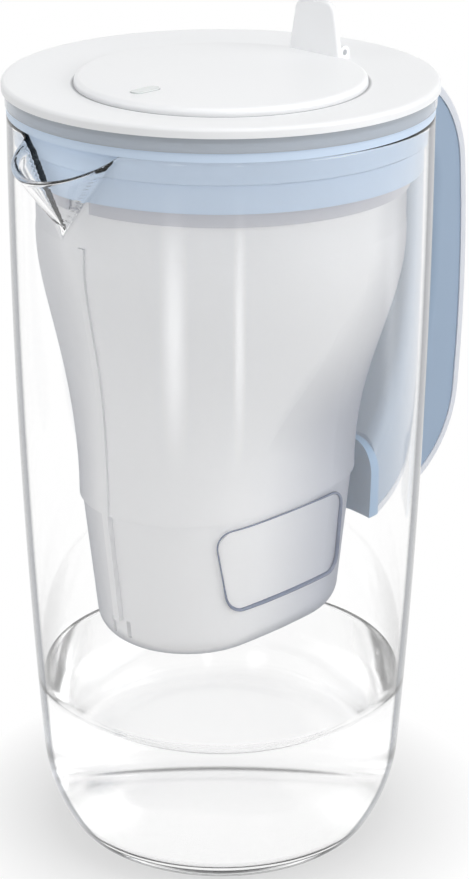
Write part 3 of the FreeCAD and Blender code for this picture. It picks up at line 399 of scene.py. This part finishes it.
def make_materials():
    """Every finish by its name. Plastics and metals take two colours and a roughness."""
    # Collar and seal: the handle's blue made lighter, as painted light for the dimmer light inside
    # the glass
    collar, collar_shadow = (212, 229, 249), (207, 225, 246)
    return {
        "clear_glass": glass_material(),
        "frosted_plastic": funnel_material(),
        "blue_plastic": plastic("blue_plastic", (154, 173, 195), (148, 168, 191), 0.35),
        "blue_collar_lightened": plastic("blue_collar_lightened", collar, collar_shadow, 0.35),
        "blue_seal": plastic("blue_seal", collar, collar_shadow, 0.42, grain=800),
        "blue_pad": plastic("blue_pad", (134, 172, 208), (128, 166, 203), 0.45,
                            grain=900, depth=0.008),
        "pale_cover": plastic("pale_cover", (220, 223, 230), (215, 219, 227), 0.35),
        # Dark bead on the panel's edge: painted shade
        "panel_edge_shade_bead": plastic("panel_edge_shade_bead", (124, 134, 158), (116, 126, 150), 0.2),
        "grey_band": plastic("grey_band", (217, 218, 224), (211, 212, 219), 0.4),
        "white_shell": plastic("white_shell", (246, 246, 246), (240, 241, 242), 0.35),
        "grey_seal": plastic("grey_seal", (196, 200, 206), (186, 190, 196), 0.5, grain=800),
        "white_lid": plastic("white_lid", LID_WHITE, LID_SHADOW, LID_ROUGHNESS),
        "lid_with_gap_shadow": lid_material(),
        "button_lens": plastic("button_lens", (240, 244, 243), (234, 239, 239), 0.18,
                               Transmission_Weight=0.08),
        "led_lens": plastic("led_lens", (150, 220, 170), (130, 205, 155), 0.15,
                            Transmission_Weight=0.5),
        "board": plastic("board", (36, 104, 66), (28, 88, 54), 0.4, grain=500),
        "black_switch": plastic("black_switch", (34, 35, 37), (26, 27, 29), 0.4),
        "steel": metal("steel", (200, 202, 205), (180, 183, 188), 0.4, (1, 0.05, 1)),
        "cell_steel": metal("cell_steel", (196, 198, 200), (182, 184, 187), 0.4, (1, 0.08, 1)),
        "contact_metal": metal("contact_metal", (214, 190, 128), (196, 170, 106), 0.4,
                               (0.06, 1, 1)),
        "mesh": mesh_material(),
        "media": media_material(),
    }


def dress_nodes(materials):
    """Give every CAD node the finish of its slot, and collar and lid one of their own: the collar a
    lighter blue as painted light, the lid its painted gap shadow.
    """
    for item in NODES.values():
        set_material(item, materials[item.data.materials[0].name])
    set_material(NODES["collar_ring"], materials["blue_collar_lightened"])
    set_material(NODES["lid_ring"], materials["lid_with_gap_shadow"])


def set_material(item, material):
    """Make a material the only one of an object."""
    item.data.materials.clear()
    item.data.materials.append(material)


# Glass, turned as a polar grid so that the rim and the spout are rounded
GLASS_TOP = 248.2
GLASS_WALL = 1.9
HEEL_TOP = 29.3
AXIS_GAP = 0.02
FLOOR_RINGS = (AXIS_GAP, 15.0, 30.0, 42.0)
KNEE_POINTS, HEEL_POINTS = 10, 14

# The two sides of the glass: floor height, radius of its flat, then points with the arcs to them
OUTSIDE = {
    "floor": 0.0,
    "flat": 46.5,
    "knee": (52.7, 3.5),
    "knee_arc": 7.2,
    "heel": (60.85, HEEL_TOP),
    "heel_arc": 57.8,
    "rim": (67.1, GLASS_TOP),
    "wall_arc": 2667.0,
    "spout_root": 220.7,
}
INSIDE = {
    "floor": 4.2,
    "flat": 45.5,
    "knee": (53.65, 9.35),
    "knee_arc": 9.0,
    "heel": (58.95, HEEL_TOP),
    "heel_arc": 55.9,
    "rim": (65.2, GLASS_TOP),
    "wall_arc": 2665.0,
    "spout_root": 223.8,
}

# Spout: an upright cone at this distance from the jug's axis, blended into the wall
SPOUT_AXIS = 66.2
SPOUT_SLOPE = 0.771
SPOUT_BLEND = 3.0

# Rim of the spout: where it starts to fall, how steeply, and how far round the jug
LIP_START = 63.6
LIP_FALL = 0.458
LIP_SINE = 0.36
LIP_ROUNDS = 30

# Grid of the glass: degrees between columns at the spout and elsewhere, and rows up the wall
SPOUT_ANGLE = 28
FINE_STEP, COARSE_STEP = 0.4, 1.0
LOW_SHARE = 0.82
LOW_ROWS, HIGH_ROWS = 24, 48
RIM_POINTS = 9


def arc_centre(start, end, radius):
    """The centre of an arc from start to end that bulges to the right of that run."""
    run = np.subtract(end, start)
    half = np.linalg.norm(run) / 2
    left = np.array([-run[1], run[0]]) / (2 * half)
    return np.add(start, end) / 2 + left * math.sqrt(radius ** 2 - half ** 2)


def arc_points(start, end, radius, count):
    """Points along such an arc."""
    centre = arc_centre(start, end, radius)
    first, last = (math.atan2(*np.subtract(spot, centre)[::-1]) for spot in (start, end))
    angles = np.linspace(first, last, count)
    return [centre + radius * np.array([math.cos(a), math.sin(a)]) for a in angles]


def glass_foot(side):
    """The floor and the heel of one side of the glass, as radius and height."""
    foot = [(radius, side["floor"]) for radius in FLOOR_RINGS]
    foot += arc_points((side["flat"], side["floor"]), side["knee"], side["knee_arc"], KNEE_POINTS)
    return foot + arc_points(side["knee"], side["heel"], side["heel_arc"], HEEL_POINTS)[1:]


def wall_radius(height, side):
    """The radius of the wall at a height, without the spout."""
    arc = side["wall_arc"]
    centre = arc_centre(side["heel"], side["rim"], arc)
    return centre[0] + np.sqrt(arc ** 2 - (height - centre[1]) ** 2)


def glass_radius(turn, height, side):
    """The radius of the glass in a direction, with the spout blended into the wall."""
    wall = wall_radius(height, side)
    reach = np.maximum(height - side["spout_root"], 0.0) * SPOUT_SLOPE
    aside = SPOUT_AXIS * np.sin(turn)
    under = reach ** 2 - aside ** 2
    spout = -SPOUT_AXIS * np.cos(turn) + np.sqrt(np.maximum(under, 0.0))
    spout = np.where((under > 0) & (np.cos(turn) < 0), spout, wall - 2 * SPOUT_BLEND)
    share = np.clip(0.5 + 0.5 * (spout - wall) / SPOUT_BLEND, 0, 1)
    return wall + (spout - wall) * share + SPOUT_BLEND * share * (1 - share)


def glass_top(turn):
    """The height of the rim, which falls along the spout to its tip."""
    top = np.full_like(turn, GLASS_TOP)
    near = np.abs(np.sin(turn)) < LIP_SINE
    for _ in range(LIP_ROUNDS):
        out = -glass_radius(turn, top, OUTSIDE) * np.cos(turn) - LIP_START
        fall = LIP_FALL * np.where(near, np.maximum(out, 0), 0)
        top = 0.5 * top + 0.5 * (GLASS_TOP - fall)
    return top


def grid_mesh(name, rows, closed_ends=True):
    """A smooth skin through rows of points in millimetres, each row a closed ring."""
    rings = np.array(rows)
    count, steps, _ = rings.shape
    points = (rings.reshape(-1, 3) * MM).tolist()
    faces = []
    for row in range(count - 1):
        for step in range(steps):
            after = (step + 1) % steps
            low, high = row * steps, (row + 1) * steps
            faces.append((low + step, low + after, high + after, high + step))
    if closed_ends:
        faces.append(tuple(reversed(range(steps))))
        faces.append(tuple((count - 1) * steps + step for step in range(steps)))
    mesh = bpy.data.meshes.new(name)
    mesh.from_pydata(points, [], faces)
    mesh.validate()
    for face in mesh.polygons:
        face.use_smooth = True
    item = bpy.data.objects.new(name, mesh)
    scene.collection.objects.link(item)
    return item


def ring(turn, radius, height):
    """Points round the jug's axis."""
    level = np.broadcast_to(height, turn.shape)
    return np.stack([radius * np.cos(turn), radius * np.sin(turn), level], axis=1)


def make_glass(material):
    """The glass as one closed skin: up its outside, over the rim and down its inside."""
    fine = np.arange(-SPOUT_ANGLE, SPOUT_ANGLE, FINE_STEP)
    coarse = np.arange(SPOUT_ANGLE, 360 - SPOUT_ANGLE, COARSE_STEP)
    turn = np.radians(180 + np.concatenate([fine, coarse]))
    edge = GLASS_WALL / 2
    rim = glass_top(turn) - edge
    low = np.linspace(0, LOW_SHARE, LOW_ROWS)
    high = np.linspace(LOW_SHARE, 1, HIGH_ROWS)[1:]
    heights = [HEEL_TOP + (rim - HEEL_TOP) * share for share in np.concatenate([low, high])]
    rows = [ring(turn, *spot) for spot in glass_foot(OUTSIDE)]
    rows += [ring(turn, glass_radius(turn, height, OUTSIDE), height) for height in heights[1:]]
    outer, inner = (glass_radius(turn, rim, side) for side in (OUTSIDE, INSIDE))
    for angle in np.radians(np.linspace(0, 180, RIM_POINTS))[1:-1]:
        radius = (outer + inner) / 2 + (outer - inner) / 2 * math.cos(angle)
        rows.append(ring(turn, radius, rim + edge * math.sin(angle)))
    rows += [ring(turn, glass_radius(turn, height, INSIDE), height) for height in heights[::-1]]
    rows += [ring(turn, *spot) for spot in glass_foot(INSIDE)[-2::-1]]
    item = grid_mesh("glass_skin", rows)
    set_material(item, material)
    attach(item, "jug")
    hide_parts("glass_jug")


# Dark bead round the bare panel on the near side of the cup, a painted shade for the panel's edge
PANEL_LEFT, PANEL_RIGHT = -33.0, 23.8
PANEL_LEAN = 6.6
PANEL_LOW, PANEL_HIGH = 92.5, 122.0
PANEL_CORNER = 6.0
CORNER_POINTS = 13
OUTLINE_POINTS = 180
BEAD_FINE, BEAD_BOLD = 0.25, 0.75
SHADED_SIDE = (0.5, -0.87)
BOLD_RUN = 16.0
BEAD_SIDES = 10
BEAD_SMOOTHING = 7
BEAD_INSET = 0.95
SIGHT_START = -60.0


def panel_outline():
    """Points round the panel, with rounded corners, as x and z."""
    left, right = PANEL_LEFT + PANEL_CORNER, PANEL_RIGHT - PANEL_CORNER
    low, high = PANEL_LOW + PANEL_CORNER, PANEL_HIGH - PANEL_CORNER
    points = []
    for quarter, centre in enumerate([(right, low), (right, high), (left, high), (left, low)]):
        for angle in np.radians(np.linspace(-90, 0, CORNER_POINTS) + 90 * quarter):
            points.append(centre + PANEL_CORNER * np.array([math.cos(angle), math.sin(angle)]))
    closed = np.array(points + points[:1])
    steps = np.concatenate([[0], np.cumsum(np.linalg.norm(np.diff(closed, axis=0), axis=1))])
    even = np.linspace(0, steps[-1], OUTLINE_POINTS + 1)[:-1]
    outline = np.stack([np.interp(even, steps, closed[:, axis]) for axis in (0, 1)], axis=1)
    leftward = (PANEL_RIGHT - outline[:, 0]) / (PANEL_RIGHT - PANEL_LEFT)
    outline[:, 0] += PANEL_LEAN * leftward * (PANEL_HIGH - outline[:, 1]) / (PANEL_HIGH - PANEL_LOW)
    return outline


def front_of(skin, x, z):
    """Where a ray along the y axis first meets the funnel."""
    hit = skin.ray_cast(Vector((x, SIGHT_START, z)) * MM, Vector((0, 1, 0)))[0]
    return hit.y / MM


def bead_line(outline):
    """The outline, laid on the front of the funnel and smoothed."""
    funnel = NODES["funnel"].data
    faces = [face.vertices for face in funnel.polygons]
    skin = BVHTree.FromPolygons([corner.co for corner in funnel.vertices], faces)
    centre = outline.mean(axis=0)
    fronts = []
    for spot in outline:
        inner = centre + (spot - centre) * BEAD_INSET
        fronts.append(min(front_of(skin, *spot), front_of(skin, *inner)))
    window = np.arange(BEAD_SMOOTHING) - BEAD_SMOOTHING // 2
    smooth = np.mean([np.roll(fronts, step) for step in window], axis=0)
    return np.stack([outline[:, 0], smooth, outline[:, 1]], axis=1)


def make_panel_bead(material):
    """A round dark bead along the panel's edge, standing in for the shade at that edge, bolder on
    its lower right where that shade is deeper.
    """
    outline = panel_outline()
    line = bead_line(outline)
    along = np.roll(line, -1, axis=0) - np.roll(line, 1, axis=0)
    along /= np.linalg.norm(along, axis=1)[:, None]
    out = np.cross(along, (0.0, 1.0, 0.0))
    out /= np.linalg.norm(out, axis=1)[:, None]
    up = np.cross(out, along)
    aside = (outline - outline.mean(axis=0)) @ np.array(SHADED_SIDE)
    share = np.clip(0.5 + aside / BOLD_RUN, 0, 1)[:, None]
    size = BEAD_FINE + (BEAD_BOLD - BEAD_FINE) * share
    angles = np.linspace(0, 2 * math.pi, BEAD_SIDES + 1)[:-1]
    rows = [line + size * (out * math.cos(a) + up * math.sin(a)) for a in angles]
    item = grid_mesh("panel_edge_shade_bead", rows + rows[:1], closed_ends=False)
    set_material(item, material)
    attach(item, "funnel")


# Water in the jug, which is not part of it
WATER_TOP = 55.5
WATER_OVERLAP = 0.15
WATER_STEP = 1.5
WATER_WALL_START, WATER_WALL_ROWS = 33.0, 8
WATER_RINGS = (58.0, 50.0, 35.0, 18.0, AXIS_GAP)


def make_water():
    """Water that overlaps the glass a little, so that no film of air shows between them."""
    turn = np.radians(np.arange(0, 360, WATER_STEP))
    profile = [(r + WATER_OVERLAP, z - WATER_OVERLAP) for r, z in glass_foot(INSIDE)]
    profile[0] = (AXIS_GAP, profile[0][1])
    wall = np.linspace(WATER_WALL_START, WATER_TOP, WATER_WALL_ROWS)
    profile += [(wall_radius(z, INSIDE) + WATER_OVERLAP, z) for z in wall]
    profile += [(r, WATER_TOP) for r in WATER_RINGS]
    item = grid_mesh("water", [ring(turn, *spot) for spot in profile])
    set_material(item, water_material())


# Floor, which turns to plain white away from the jug and where it is seen through glass; the grey
# it keeps near the jug is a painted soft shadow round the base, beside the real shadow it catches
FLOOR_SIZE = 6000.0
FLOOR_DROP = 0.05
FLOOR_CELLS = 6
FLOOR_LIGHT, FLOOR_DARK = (202, 202, 202), (198, 198, 198)
FLOOR_ROUGHNESS = 0.7
FLOOR_NEAR, FLOOR_FAR = 0.0, 95.0
FLOOR_PALE = 0.6
FLOOR_THROUGH_GLASS = 0.95


def make_floor():
    """A pale floor that keeps the jug's shadow."""
    half = FLOOR_SIZE / 2
    mesh = bpy.data.meshes.new("floor")
    corners = [(-half, -half, 0), (half, -half, 0), (half, half, 0), (-half, half, 0)]
    mesh.from_pydata([[value * MM for value in corner] for corner in corners], [], [(0, 1, 2, 3)])
    item = bpy.data.objects.new("floor", mesh)
    item.location.z = -FLOOR_DROP * MM
    scene.collection.objects.link(item)
    set_material(item, floor_material())


def floor_material():
    """Pale paint, mixed with white by distance and by the kind of ray; near the jug more grey is
    kept, as painted shadow.
    """
    nodes = Nodes("floor")
    nodes.paint(nodes.mix(nodes.noise(FLOOR_CELLS), FLOOR_DARK, FLOOR_LIGHT))
    nodes.set(Roughness=FLOOR_ROUGHNESS)
    length = nodes.add("ShaderNodeVectorMath", operation="LENGTH")
    nodes.join(nodes.place, length.inputs[0])
    # Near the jug the floor keeps more of its grey paint: a painted soft shadow round the base
    far = nodes.spread(length.outputs["Value"], 0.0, 1.0, FLOOR_NEAR * MM, FLOOR_FAR * MM)
    rays = nodes.add("ShaderNodeLightPath").outputs
    bent = calculate(nodes.tree, "MAXIMUM", rays["Is Transmission Ray"], rays["Is Glossy Ray"])
    through = nodes.spread(bent, FLOOR_PALE, FLOOR_THROUGH_GLASS)
    pale = calculate(nodes.tree, "MAXIMUM", far, through)
    white = calculate(nodes.tree, "MULTIPLY", pale, background_rays(nodes.tree))
    glow = nodes.add("ShaderNodeEmission")
    mix = nodes.add("ShaderNodeMixShader")
    nodes.join(white, mix.inputs["Fac"])
    nodes.join(nodes.shader.outputs["BSDF"], mix.inputs[1])
    nodes.join(glow.outputs["Emission"], mix.inputs[2])
    nodes.join(mix.outputs["Shader"], nodes.output.inputs["Surface"])
    return nodes.material


def background_rays(tree):
    """1 for rays from the camera, off gloss or through glass."""
    rays = tree.nodes.new("ShaderNodeLightPath").outputs
    seen = calculate(tree, "MAXIMUM", rays["Is Camera Ray"], rays["Is Glossy Ray"])
    return calculate(tree, "MAXIMUM", seen, rays["Is Transmission Ray"])


# World and lamps. A lamp has azimuth, elevation, distance and size in metres, and power
WORLD_LIGHT = 0.54
LAMP_AIM = 130.0
LAMP_MIDDLE, LAMP_PEAK = 0.5, 2.0
LAMPS = {
    "overhead": (-110, 68, 0.75, (0.6, 0.6), 1.15),
    "softbox_left": (150, 20, 1.4, (1.3, 1.3), 2.5),
    "softbox_right": (-70, 20, 1.4, (1.3, 1.3), 7.5),
    "strip_left": (-158, -7, 0.385, (0.11, 0.16), 0.04),
    "strip_near": (-126, -7, 0.385, (0.05, 0.16), 0.016),
    "strip_right": (-37, -7, 0.385, (0.11, 0.16), 0.01),
}


def make_world():
    """Plain white surroundings, dimmer as a light than they look."""
    world = bpy.data.worlds.new("world")
    world.use_nodes = True
    scene.world = world
    tree = world.node_tree
    background = tree.nodes["Background"]
    background.inputs["Color"].default_value = (1, 1, 1, 1)
    strength = tree.nodes.new("ShaderNodeMapRange")
    strength.inputs["To Min"].default_value = WORLD_LIGHT
    strength.inputs["To Max"].default_value = 1.0
    tree.links.new(background_rays(tree), strength.inputs["Value"])
    tree.links.new(strength.outputs["Result"], background.inputs["Strength"])


def lamp(name, azimuth, elevation, distance, size, power):
    """A soft area lamp that looks at the middle of the jug and fades out to its edges."""
    light = bpy.data.lights.new(name, "AREA")
    light.shape = "RECTANGLE"
    light.size, light.size_y = size
    light.energy = power
    fade_edges(light)
    item = bpy.data.objects.new(name, light)
    turn, rise = math.radians(azimuth), math.radians(elevation)
    out, up = distance * math.cos(rise), distance * math.sin(rise)
    item.location = (out * math.cos(turn), out * math.sin(turn), LAMP_AIM * MM + up)
    item.rotation_euler = (math.pi / 2 - rise, 0, turn + math.pi / 2)
    item.visible_camera = False
    scene.collection.objects.link(item)


def fade_edges(light):
    """Brightest in the middle of the lamp, and dark at its rim."""
    light.use_nodes = True
    tree = light.node_tree
    emission = next(node for node in tree.nodes if node.type == "EMISSION")
    place = tree.nodes.new("ShaderNodeNewGeometry").outputs["Parametric"]
    split = tree.nodes.new("ShaderNodeSeparateXYZ")
    tree.links.new(place, split.inputs["Vector"])
    shares = []
    for axis in ("X", "Y"):
        soft = tree.nodes.new("ShaderNodeMapRange")
        soft.interpolation_type = "SMOOTHSTEP"
        soft.inputs["From Max"].default_value = LAMP_MIDDLE
        soft.inputs["To Max"].default_value = LAMP_PEAK
        inward = calculate(tree, "PINGPONG", split.outputs[axis], LAMP_MIDDLE)
        tree.links.new(inward, soft.inputs["Value"])
        shares.append(soft.outputs["Result"])
    tree.links.new(calculate(tree, "MULTIPLY", *shares), emission.inputs["Strength"])


# Bounces of light, enough for the walls of glass, water and funnel
BOUNCES = 24
CLEAR_BOUNCES = 16


def make_scene():
    """Everything, in the order in which it is made."""
    scene.view_settings.view_transform = "Standard"
    scene.cycles.max_bounces = BOUNCES
    scene.cycles.transmission_bounces = BOUNCES
    scene.cycles.transparent_max_bounces = CLEAR_BOUNCES
    materials = make_materials()
    dress_nodes(materials)
    make_camera()
    make_world()
    for name, settings in LAMPS.items():
        lamp(name, *settings)
    make_floor()
    make_glass(materials["clear_glass"])
    make_panel_bead(materials["panel_edge_shade_bead"])
    make_water()


make_scene()
